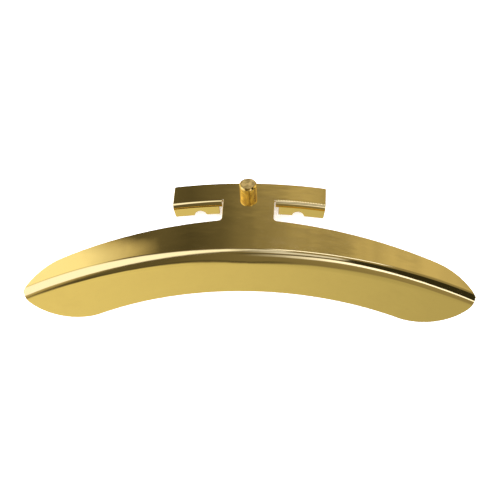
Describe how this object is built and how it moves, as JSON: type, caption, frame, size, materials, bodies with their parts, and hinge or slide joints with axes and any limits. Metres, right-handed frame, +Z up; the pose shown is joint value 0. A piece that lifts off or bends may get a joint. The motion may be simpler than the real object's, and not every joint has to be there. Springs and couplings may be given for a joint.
{
  "type": "banjo armrest",
  "caption": "Curved sheet-metal armrest with a rolled edge and a T-shaped tab, held to a banjo's tension hoop by a thumbscrew and clamp jaw.",
  "frame": {"origin": "centre of the bounding box's bottom face, on the table that the armrest lies on like a tent", "axes": "+X along the armrest, +Y from the lobes of the rest towards the T-shaped tab, +Z up from the table"},
  "size_m": [0.1842, 0.057, 0.0276],
  "materials": {
    "plated_sheet": "mirror-polished gold plate with faint wiping marks",
    "plated_knob": "knurled gold-plated barrel with a duller turned face",
    "plain_steel": "bright machine-cut thread",
    "spring_steel": "dark spring steel",
    "washer_fibre": "vulcanised fibre",
    "plated_jaw": "satin gold plate with milling marks",
    "pad_leather": "thin smooth leather lining"
  },
  "bodies": {
    "plate": {"armrest_plate": "plated_sheet"},
    "thumbscrew": {"thumbscrew_head": "plated_knob", "screw_stud": "plain_steel", "screw_clip": "spring_steel", "thrust_washer": "washer_fibre"},
    "jaw": {"clamp_jaw": "plated_jaw", "jaw_pad": "pad_leather"}
  },
  "joints": [
    {"name": "screw_turn", "type": "hinge", "parent": "plate", "child": "thumbscrew", "pos_m": [0, 0.01973, 0.00961], "axis": [0, -0.6461, -0.7633], "range_deg": [0, 1080]},
    {"name": "jaw_travel", "type": "slide", "parent": "plate", "child": "jaw", "axis": [0, 0.6461, 0.7633], "range_m": [0, 0.0021]}
  ],
  "couplings": [
    {"joint": "screw_turn", "follows": "jaw_travel", "rad_per_m": 8976}
  ]
}
